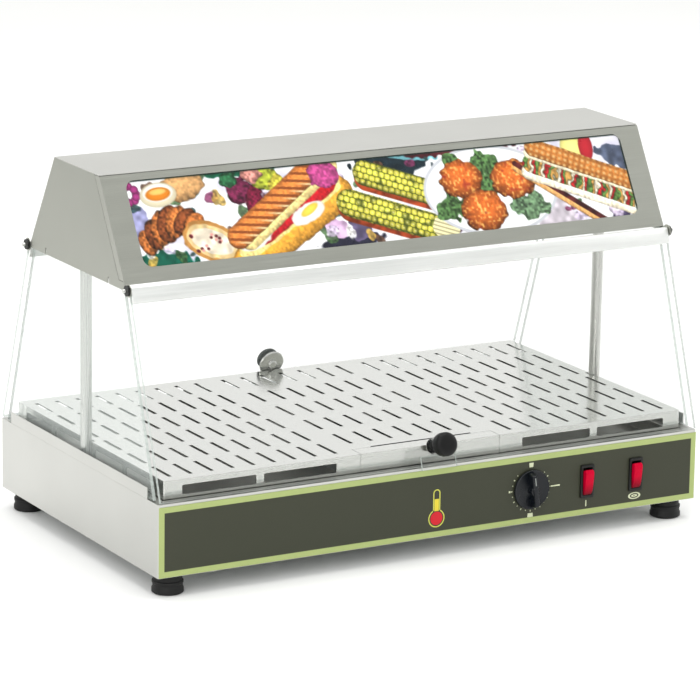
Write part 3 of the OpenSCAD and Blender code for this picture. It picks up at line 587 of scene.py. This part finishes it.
# ---------------------------------------------------------------------------
# Rocker switches. A snap-in black frame with a translucent red rocker, lit
# from inside by a small neon lamp when it is on. Its face bulges outwards.
# ---------------------------------------------------------------------------
# Profile of a rocker across its pivot: millimetres out from the pivot, and up
KEY_PROFILE = ((0, -9.9), (5.5, -12.9), (7.2, -12.3), (8.3, -10.5), (8.9, -7), (9.1, -2), (9.1, 4), (8.9, 8),
               (8.5, 10.8), (7.5, 12.3), (5.5, 12.9), (0, 9.9), (-1.8, 0))
KEY_WIDTH = 0.0094
KEY_TILT = math.radians(8)
KEY_EDGE = 0.0009
# Heights from the pivot between which the rocker's red darkens downwards: painted shade on its lower part
KEY_SHADE_SPAN = (-0.0125, -0.001)
hinge_of = {joint["child"]: Vector(joint["pos_m"]) for joint in frame["joints"] if "pos_m" in joint}
rocker_red, place = new_finish("rocker_red")
glow = noise(place, 0.01, 2)
above_pivot = coordinate(place, 2) - hinge_of["heat_rocker"].z
lit_red = blended(glow, tone(180, 0, 38), tone(198, 0, 46))
# Painted shade: the red darkens to a dark crimson towards the rocker's lower edge, below the pivot.
rocker_colour = blended(spread(above_pivot, *KEY_SHADE_SPAN, 0, 1), tone(112, 6, 26), lit_red)
set_surface(rocker_red, Base_Color=rocker_colour, Roughness=spread(glow, 0.3, 0.7, 0.3, 0.4),
            Specular_IOR_Level=0.08, Emission_Color=rocker_colour, Emission_Strength=0.05)
for switch in ("heat", "lamp"):
    coat(black_plastic,
         softened(switch + "_switch_case", 0.0004, switch + "_switch_frame", "case", "black_plastic"))
    key = bmesh.new()
    side = key.faces.new([key.verts.new((-KEY_WIDTH / 2, -out / 1000, up / 1000)) for out, up in KEY_PROFILE])
    for part in bmesh.ops.extrude_face_region(key, geom=[side])["geom"]:
        if isinstance(part, bmesh.types.BMVert):
            part.co.x += KEY_WIDTH
    key_edges = [edge for edge in key.edges if edge.calc_face_angle(0) > SHARP]
    bmesh.ops.bevel(key, geom=key_edges, offset=KEY_EDGE, segments=3, profile=0.5, affect="EDGES")
    key.transform(Matrix.Translation(hinge_of[switch + "_rocker"]) @ Matrix.Rotation(KEY_TILT, 4, "X"))
    coat(rocker_red, add_piece(switch + "_switch_key", rounded_off(key, "key"), switch + "_rocker",
                               "rocker_red", switch + "_switch_rocker"))


# ---------------------------------------------------------------------------
# Posts and canopy. Two hollow posts carry the canopy's end plates. A folded
# cover and a framed front close it over a white reflector and one lamp tube.
# ---------------------------------------------------------------------------
coat(brushed("post_steel", tone(188, 188, 184), 0.3, (0.0005, 0.0005, 0.04)), "post_left", "post_right")
coat(brushed("end_plate_steel", tone(163, 164, 156), 0.38), "canopy_end_left", "canopy_end_right")
coat(brushed("canopy_steel", tone(168, 169, 161), 0.38), "canopy_front")
coat(brushed("cover_steel", tone(198, 198, 193), 0.36), "canopy_cover")
coat(plated, "post_nuts", "canopy_screws")
coat(moulded("white_enamel", tone(240, 240, 236), 0.25), "lamp_reflector")
coat(moulded("opal_diffuser", tone(244, 244, 238), 0.3), "lamp_diffuser")
coat(moulded("lamp_coating", tone(246, 247, 242), 0.15), "lamp_tube")
coat(cream_plastic, "lamp_holders")
coat(galvanised, "lamp_ballast")
anodised = brushed("anodised_profile", tone(241, 242, 240), 0.42, (0.06, 0.0008, 0.0008), 0.03)
coat(anodised, "picture_channels")


# ---------------------------------------------------------------------------
# Picture. A translucent sheet printed with snacks, which slides in two
# channels behind the canopy's window and is lit from behind by the lamp.
# ---------------------------------------------------------------------------
PRINT_STEP = 0.0008
SHEET_THICK = 0.0015
WINDOW_SLOPE = math.radians(30.05)
sheet_low, sheet_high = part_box("picture_sheet")
sheet_w = sheet_high.x - sheet_low.x
sheet_h = (sheet_high.z - sheet_low.z - SHEET_THICK * math.sin(WINDOW_SLOPE)) / math.cos(WINDOW_SLOPE)
columns = round(sheet_w / PRINT_STEP) + 1
rows = round(sheet_h / PRINT_STEP) + 1
# Every point of the print: millimetres to the right of the middle, and down from the top edge
across, down = np.meshgrid(np.linspace(-500 * sheet_w, 500 * sheet_w, columns),
                           np.linspace(0, 1000 * sheet_h, rows))
ink = np.ones((rows, columns, 3)) * np.array([252, 252, 254])
dice = np.random.default_rng(7)
# Millimetres that the random patches cover, a little more than the print
PATCHED_ACROSS = 600
PATCHED_DOWN = 120


def mottle(grain):
    """Smooth random patches from 0 to 1, grain millimetres wide."""
    tall, wide = int(PATCHED_DOWN / grain) + 3, int(PATCHED_ACROSS / grain) + 3
    field = dice.random((tall, wide))
    u, v = (across + PATCHED_ACROSS / 2) / grain, down / grain
    i, j = u.astype(int), v.astype(int)
    s, t = u - i, v - j
    s, t = s * s * (3 - 2 * s), t * t * (3 - 2 * t)
    top = field[j, i] * (1 - s) + field[j, i + 1] * s
    low = field[j + 1, i] * (1 - s) + field[j + 1, i + 1] * s
    return top * (1 - t) + low * t


fine, middle, broad = mottle(2.2), mottle(5), mottle(16)


def lay_ink(cover, colour, shade=None):
    """Prints a colour where cover is 1. shade, round 1, lightens or darkens it point by point."""
    global ink
    tint = np.array(colour, float) * (1 if shade is None else shade[..., None])
    ink = ink * (1 - cover[..., None]) + np.clip(tint, 0, 255) * cover[..., None]


def turned_to(x, y, angle):
    """Coordinates round (x, y), along and across a line that falls by angle degrees to the right."""
    c, s = math.cos(math.radians(angle)), math.sin(math.radians(angle))
    return (across - x) * c + (down - y) * s, (down - y) * c - (across - x) * s


def oval(x, y, half_w, half_h, angle=0, ragged=0.0):
    """Cover of an oval, and its height as a dome from 0 at the edge to 1 in the middle."""
    along, over = turned_to(x, y, angle)
    reach = np.sqrt((along / half_w) ** 2 + (over / half_h) ** 2) + ragged * (middle - 0.5)
    return np.clip((1 - reach) * min(half_w, half_h) + 0.5, 0, 1), np.clip(1 - reach * reach, 0, 1) ** 0.5


def loaf(x, y, half_l, half_h, angle, ragged=0.0):
    """Cover and dome of a long shape with round ends, and the coordinates along and across it."""
    along, over = turned_to(x, y, angle)
    past = np.maximum(np.abs(along) - (half_l - half_h), 0)
    reach = np.hypot(past, over) / half_h + ragged * (middle - 0.5)
    return np.clip((1 - reach) * half_h + 0.5, 0, 1), np.clip(1 - reach * reach, 0, 1) ** 0.5, along, over


def lit(dome, over, low=0.55, high=1.15):
    """Shade of a rounded thing lit from above: bright on its upper side, dark at its rim."""
    return low + (high - low) * dome + 0.12 * np.clip(-over / 12, -1, 1) + 0.35 * (fine - 0.5)


# Table cloth with soft folds, plum and teal napkins
lay_ink(np.clip(broad * 2.4 - 1.3, 0, 1) * 0.6, (190, 184, 216))
for x, y, half_w, half_h, angle, colour in (
        (-244, 84, 30, 10, 6, (8, 92, 70)), (-150, 3, 42, 7, -3, (14, 96, 66)),
        (10, 12, 44, 12, 6, (24, 40, 48)), (34, 6, 30, 4, 8, (110, 186, 198)),
        (-48, 84, 34, 7, -4, (34, 34, 52)), (92, 3, 62, 7, 0, (84, 26, 34)),
        (262, 26, 22, 12, 20, (78, 88, 112)), (-64, 70, 16, 9, 30, (208, 168, 206)),
        (52, 82, 24, 8, 0, (64, 44, 60)), (176, 20, 18, 16, 30, (66, 52, 74)),
        (262, 88, 20, 8, 0, (70, 60, 92)), (-268, 44, 12, 16, 0, (150, 150, 196)),
        (-36, 66, 12, 22, 20, (96, 84, 120)), (172, 74, 30, 20, 20, (200, 190, 200))):
    cover, dome = oval(x, y, half_w, half_h, angle, 0.5)
    lay_ink(cover, colour, 0.8 + 0.5 * middle)

# Torn leaves, crumbs and seeds scattered on the cloth
SCATTER = ((62, 96, 52), (122, 44, 84), (206, 188, 216), (92, 62, 44), (244, 240, 236), (34, 66, 64),
           (188, 150, 60))
SCRAPS = 110
for k in range(SCRAPS):
    x, y, size, angle = dice.uniform((-275, 2, 1.5, 0), (275, 92, 6, 180))
    cover, dome = oval(x, y, size * 1.5, size, angle, 0.6)
    lay_ink(cover * 0.85, SCATTER[k % len(SCATTER)], 0.6 + 0.8 * fine)

# Breakfast: berries, a cup of jam, a croissant in five rolls, and a cut pastry
for k in range(9):
    cover, dome = oval(-269 + 7 * math.cos(2.4 * k), 17 + 8 * math.sin(2.4 * k), 4.2, 4)
    lay_ink(cover, (142, 40, 104), 0.5 + 0.8 * dome)
cover, dome = oval(-214, 14, 24, 14, -10, 0.2)
lay_ink(cover, (214, 158, 96), lit(dome, down - 14))
for half_w, half_h, y, colour in ((19, 12, 20, (226, 214, 178)), (16, 9, 18, (252, 248, 236)),
                                  (13, 6.5, 19, (232, 128, 20)), (9, 3, 17, (252, 190, 88))):
    cover, dome = oval(-240, y, half_w, half_h, -4)
    lay_ink(cover, colour, 0.85 + 0.25 * dome)
for k in range(7):
    bend = (k - 3) / 3
    cover, dome = oval(-236 + 25 * bend, 49 + 9 * bend * bend - 7 * bend, 12 - 3.5 * abs(bend),
                       19 - 6 * abs(bend), 18 + 34 * bend, 0.12)
    crust = (118, 58, 26) if k % 2 else (176, 96, 40)
    lay_ink(cover, crust, lit(dome, down - 50, 0.45, 1.35) + 0.5 * (fine - 0.5))
for half_w, half_h, colour in ((31, 19, (198, 136, 62)), (27, 15.5, (240, 204, 138)),
                               (22, 11.5, (252, 236, 208))):
    cover, dome = oval(-196, 70, half_w, half_h, 24, 0.12)
    lay_ink(cover, colour, 0.8 + 0.4 * middle)
for k in range(16):
    cover, dome = oval(-202 + 15 * math.cos(5.1 * k), 70 + 8 * math.sin(3.7 * k), 1.7, 1.5)
    lay_ink(cover, (106, 34, 40) if k % 3 else (240, 160, 150))

# Salad leaves and onion, above the grilled sandwich
for x, y, half_w, half_h, angle, colour in (
        (-158, 22, 15, 13, 20, (112, 30, 66)), (-142, 36, 10, 15, 10, (122, 20, 52)),
        (-166, 12, 10, 8, 0, (38, 104, 62)), (-128, 12, 13, 12, -30, (168, 178, 44)),
        (-140, 9, 10, 8, 0, (206, 130, 118)), (-116, 20, 8, 9, 0, (222, 206, 60))):
    cover, dome = oval(x, y, half_w, half_h, angle, 0.5)
    lay_ink(cover, colour, 0.55 + 0.6 * dome + 0.7 * (fine - 0.5))

# Grilled sandwich, rising to the right: lower bread, egg and tomato, scored upper bread
SANDWICH_RISE = -29
cover, dome, along, over = loaf(-108, 64, 78, 18, SANDWICH_RISE, 0.1)
lay_ink(cover, (232, 158, 44), lit(dome, over, 0.6, 1.2))
cover, dome, along, over = loaf(-110, 54, 68, 10, SANDWICH_RISE, 0.15)
lay_ink(cover, (252, 224, 132), 0.85 + 0.35 * fine)
cover, dome, along, over = loaf(-104, 46, 56, 11, SANDWICH_RISE, 0.1)
lay_ink(cover, (204, 18, 30), 0.75 + 0.35 * dome + 0.3 * (fine - 0.5))
for x, y in ((-150, 72), (-90, 52)):
    cover, dome = oval(x, y, 20, 9, SANDWICH_RISE + 6, 0.2)
    lay_ink(cover, (252, 250, 240), 0.85 + 0.2 * dome)
    cover, dome = oval(x + 2, y - 3, 11, 4, SANDWICH_RISE)
    lay_ink(cover, (246, 204, 62), 0.85 + 0.3 * dome)
cover, dome, along, over = loaf(-108, 39, 70, 11, SANDWICH_RISE - 4, 0.06)
lay_ink(cover, (250, 220, 136), lit(dome, over, 0.7, 1.15))
cover, dome, along, over = loaf(-115, 34, 75, 11.5, SANDWICH_RISE - 4, 0.06)
lay_ink(cover, (200, 112, 44), lit(dome, over, 0.5, 1.3))
scored = np.clip(np.sin((along * 0.75 - over * 0.9) * 0.72) * 2.5 - 0.6, 0, 1) * np.clip(dome * 2 - 0.5, 0, 1)
lay_ink(cover * scored * 0.8, (132, 60, 22))
toasted = np.clip(np.sin((along * 0.75 - over * 0.9) * 0.72 + 2.4) * 2.5 - 1.3, 0, 1)
lay_ink(cover * toasted * np.clip(over / 9, 0, 1) * 0.8, (255, 236, 178))

# Two sweetcorn cobs on a grill, falling to the right, with husk strips at their ends
COB_FALL = 21
KERNEL = 6.2
cover, dome = oval(-66, 16, 16, 13, 0, 0.4)
lay_ink(cover, (186, 62, 128), 0.6 + 0.6 * dome + 0.5 * (fine - 0.5))
for x, y, half_l, half_h in ((19, 34, 55, 13), (-1, 63, 60, 14)):
    cover, dome, along, over = loaf(x, y + 5, half_l, half_h, COB_FALL)
    lay_ink(cover, (176, 62, 22), 0.6 + 0.6 * middle)
    cover, dome, along, over = loaf(x, y, half_l, half_h, COB_FALL, 0.04)
    lay_ink(cover, (210, 200, 58), lit(dome, over, 0.5, 1.2))
    row = np.floor(over / KERNEL)
    kernel = np.abs(np.sin(math.pi * (along / KERNEL + 0.5 * (row % 2))))
    kernel = kernel * np.abs(np.sin(math.pi * over / KERNEL))
    lay_ink(cover * np.clip(0.9 - kernel * 2.6, 0, 1) * 0.85, (30, 50, 14))
    lay_ink(cover * np.clip(middle * 5 - 3.3, 0, 1) * 0.6, (52, 66, 16))
    lay_ink(cover * np.clip(kernel * 2.6 - 1.7, 0, 1) * 0.75, (246, 240, 150))
    cover, dome, along, over = loaf(x + half_l * 0.9, y + half_l * 0.3, 15, half_h * 0.8, COB_FALL, 0.2)
    lay_ink(cover, (226, 214, 160), 0.7 + 0.5 * np.abs(np.sin(over * 0.8)))

# Plate with three glazed dumplings and herbs
for half_w, half_h, colour in ((74, 46, (206, 208, 216)), (71, 43, (250, 251, 252)),
                               (54, 32, (226, 228, 234)), (52, 30.5, (244, 245, 247))):
    cover, dome = oval(112, 48, half_w, half_h, 2)
    lay_ink(cover, colour)
for x, y, half_w, half_h, angle in ((112, 22, 16, 12, 20), (62, 62, 17, 13, -20), (152, 68, 20, 13, 10),
                                    (108, 44, 12, 12, 0), (74, 14, 10, 8, 40)):
    cover, dome = oval(x, y, half_w, half_h, angle, 0.7)
    lay_ink(cover, (74, 112, 60) if x < 120 else (96, 128, 92), 0.5 + 1.0 * fine)
for x, y, size in ((82, 34, 23), (139, 39, 24), (100, 68, 25)):
    cover, dome = oval(x, y, size, size * 0.84, 0, 0.22)
    lay_ink(cover, (206, 96, 30), lit(dome, down - y, 0.4, 1.25) + 0.3 * (middle - 0.5))
    lay_ink(cover * np.clip(fine * 3.4 - 2.1, 0, 1) * dome, (255, 206, 104))
    lay_ink(cover * np.clip(middle * 4 - 3, 0, 1) * 0.7, (158, 32, 26))

# Long filled rolls, falling to the right, with a jar of mustard behind them
for x, half_w, half_h, colour in ((214, 13, 17, (244, 232, 128)), (230, 8, 15, (192, 26, 40))):
    cover, dome = oval(x, 14, half_w, half_h, 4)
    lay_ink(cover, colour, 0.75 + 0.35 * dome)
ROLL_FALL = 23
cover, dome, along, over = loaf(196, 66, 66, 4.5, ROLL_FALL + 14)
lay_ink(cover, (226, 164, 92), lit(dome, over, 0.6, 1.15))
cover, dome, along, over = loaf(196, 62, 66, 2.6, ROLL_FALL + 14)
lay_ink(cover, (60, 20, 20), 0.6 + 1.4 * middle)
for lift, half_h, colour in ((16, 7.5, (250, 236, 204)), (7, 9.5, (46, 58, 34)), (-3, 6, (252, 238, 200)),
                             (-9, 9.5, (186, 112, 44))):
    cover, dome, along, over = loaf(226 - lift * 0.4, 44 + lift, 74, half_h, ROLL_FALL, 0.08)
    lay_ink(cover, colour, lit(dome, over, 0.65, 1.2))
    if lift == 7:
        for rest, filling in ((0.3, (196, 30, 34)), (1.9, (240, 224, 196)), (3.4, (206, 150, 70)),
                              (4.9, (96, 140, 60))):
            chunk = np.clip(np.sin(along * 0.42 + rest + 3 * middle) * 3 - 1.9, 0, 1)
            lay_ink(cover * chunk, filling, 0.7 + 0.6 * fine)
    if lift == -9:
        bumps = np.abs(np.sin(along * 0.5)) * np.abs(np.sin(over * 0.55 + 0.6))
        lay_ink(cover * np.clip(bumps * 2 - 1, 0, 1) * 0.8, (246, 202, 130))
        lay_ink(cover * np.clip(0.5 - bumps * 2, 0, 1) * 0.5, (122, 58, 20))

# Painted shadow of the window's lip just inside its top and right edges, then the whole print a little toned
# down
WINDOW_SHADOW_DOWN = 5.3
WINDOW_SHADOW_RIGHT = 269.8
lay_ink(np.clip(np.maximum(WINDOW_SHADOW_DOWN - down, across - WINDOW_SHADOW_RIGHT) + 0.5, 0, 1) * 0.85, (31, 49, 43))
TONED_DOWN = 0.93
GREYED = 0.12
ink = TONED_DOWN * ((1 - GREYED) * ink + GREYED * ink.mean(axis=2, keepdims=True))

print_points = [(x / 1000, sheet_low.y + (sheet_h - d / 1000) * math.sin(WINDOW_SLOPE),
                 sheet_high.z - d / 1000 * math.cos(WINDOW_SLOPE))
                for x, d in zip(across.ravel(), down.ravel())]
print_faces = [(r * columns + c, (r + 1) * columns + c, (r + 1) * columns + c + 1, r * columns + c + 1)
               for r in range(rows - 1) for c in range(columns - 1)]
# The sheet's back and its four thin sides, each one face
back_start = len(print_points)
inward = Vector((0, math.cos(WINDOW_SLOPE), -math.sin(WINDOW_SLOPE))) * SHEET_THICK
top_left, top_right = 0, columns - 1
low_left, low_right = (rows - 1) * columns, rows * columns - 1
for corner in (top_left, top_right, low_right, low_left):
    print_points.append(tuple(Vector(print_points[corner]) + inward))
print_faces += [(back_start, back_start + 1, back_start + 2, back_start + 3),
                (*range(top_left, top_right + 1), back_start + 1, back_start),
                (*range(top_right, low_right + 1, columns), back_start + 2, back_start + 1),
                (*range(low_right, low_left - 1, -1), back_start + 3, back_start + 2),
                (*range(low_left, top_left - 1, -columns), back_start, back_start + 3)]
sheet_mesh = bpy.data.meshes.new("printed_sheet")
sheet_mesh.from_pydata(print_points, [], print_faces)
inks = sheet_mesh.color_attributes.new("ink", "BYTE_COLOR", "POINT")
tints = np.ones((len(print_points), 4), np.float32)
tints[:back_start, :3] = ink.reshape(-1, 3) / 255
inks.data.foreach_set("color_srgb", tints.ravel())

gloss_print, place = new_finish("printed_picture")
ink_colour = place.node("ShaderNodeVertexColor", {"layer_name": "ink"}, {})
dust = noise(place, 0.02)
set_surface(gloss_print, Base_Color=ink_colour, Roughness=spread(dust, 0.3, 0.7, 0.24, 0.34),
            Specular_IOR_Level=0.3, Emission_Color=ink_colour, Emission_Strength=0.06)
coat(gloss_print, add_piece("printed_sheet", sheet_mesh, "case", "printed_picture", "picture_sheet"))


# ---------------------------------------------------------------------------
# Glass. Clear toughened panes, 4 mm thick in the doors and 3 mm at the sides,
# with ground edges that catch the light. Clear tabs are bonded to the doors.
# ---------------------------------------------------------------------------
pane_face, place = new_finish("clear_pane")
glance = place.node("ShaderNodeFresnel", {}, {"IOR": 1.45})
set_surface(pane_face, Base_Color=tone(232, 240, 237),
            Roughness=spread(noise(place, 0.06, 2), 0.3, 0.7, 0.02, 0.05),
            Alpha=spread(glance, 0.03, 1, 0.004, 0.3))
pane_rim, place = new_finish("ground_edge")
arris = noise(place, 0.003, 2)
set_surface(pane_rim, Base_Color=blended(arris, tone(168, 178, 172), tone(200, 208, 204)), Roughness=0.35,
            Alpha=spread(arris, 0.3, 0.7, 0.6, 0.8))


FACE_SQUARE = 0.9


def clear_pane(node, name, body, slot="clear_glass", radius=0.0004):
    """A pane with eased edges: clear on its two faces and ground round its rim."""
    pane = softened(node, radius, name, body, slot, 1)
    coat(pane_face, pane)
    pane.data.materials.append(pane_rim)
    square_on = max(pane.data.polygons, key=lambda face: face.area).normal.copy()
    for face in pane.data.polygons:
        face.material_index = 0 if abs(face.normal.dot(square_on)) > FACE_SQUARE else 1
    return pane


clear_pane("side_glass_left", "side_pane_left", "case")
clear_pane("side_glass_right", "side_pane_right", "case")


# ---------------------------------------------------------------------------
# Doors. Each pane is held in an aluminium profile that turns on two pins at
# the canopy's ends. A turned knob, low at the rear, clamps a washer plate on it.
# ---------------------------------------------------------------------------
# Outlines of the front knob and of the low rear one: radius and distance from the glass, in metres
KNOB_OUTLINE = ((0, 0), (0.0065, 0), (0.0065, 0.0006), (0.0056, 0.0026), (0.0054, 0.0076), (0.0062, 0.0096),
                (0.0098, 0.0118), (0.0112, 0.0132), (0.0115, 0.0148), (0.0115, 0.0202), (0.0111, 0.0218),
                (0.0100, 0.0232), (0.0082, 0.0241), (0.0050, 0.0245), (0, 0.0246))
LOW_KNOB_OUTLINE = ((0, 0), (0.0065, 0), (0.0065, 0.0005), (0.0054, 0.0014), (0.0054, 0.0022),
                    (0.0098, 0.0033), (0.0112, 0.0040), (0.0115, 0.0048), (0.0115, 0.0060), (0.0108, 0.0070),
                    (0.0090, 0.0077), (0.0060, 0.0080), (0, 0.0080))
# How far each door's knob stands below the hinge, and its outline
KNOBS = {"front_door": (0.178, KNOB_OUTLINE), "rear_door": (0.171, LOW_KNOB_OUTLINE)}
GLASS_HALF = 0.002
knob_plastic = moulded("knob_plastic", tone(13, 13, 13), 0.4, 0.22)
for door, (down_to_knob, outline) in KNOBS.items():
    hinge = hinge_of[door]
    glass_low, glass_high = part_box(door + "_glass")
    outward = math.copysign(1, hinge.y)
    foot_y = (glass_high.y if outward > 0 else -glass_low.y) - GLASS_HALF
    lean = math.atan2(foot_y - abs(hinge.y), hinge.z - glass_low.z)
    facing = Matrix.Identity(4) if outward < 0 else Matrix.Rotation(math.pi, 4, "Z")
    hung = Matrix.Translation(hinge) @ facing @ Matrix.Rotation(-lean, 4, "X")
    knob = turned(outline)
    on_glass = hung @ Matrix.Translation((0, -GLASS_HALF, -down_to_knob))
    knob.transform(on_glass @ Matrix.Rotation(math.pi / 2, 4, "X"))
    coat(knob_plastic,
         add_piece(door + "_pull", rounded_off(knob, "knob"), door, "black_plastic", door + "_knob"))
    coat(anodised, softened(door + "_profile", 0.0005, door + "_rail", door, "anodised_profile"))
    clear_pane(door + "_glass", door + "_pane", door)
    clear_pane(door + "_tab", door + "_lift_tab", door, "clear_plastic", 0.0003)
coat(plated, "front_door_rosette", "rear_door_rosette", "hinge_pins")
coat(black_plastic, "hinge_washers")
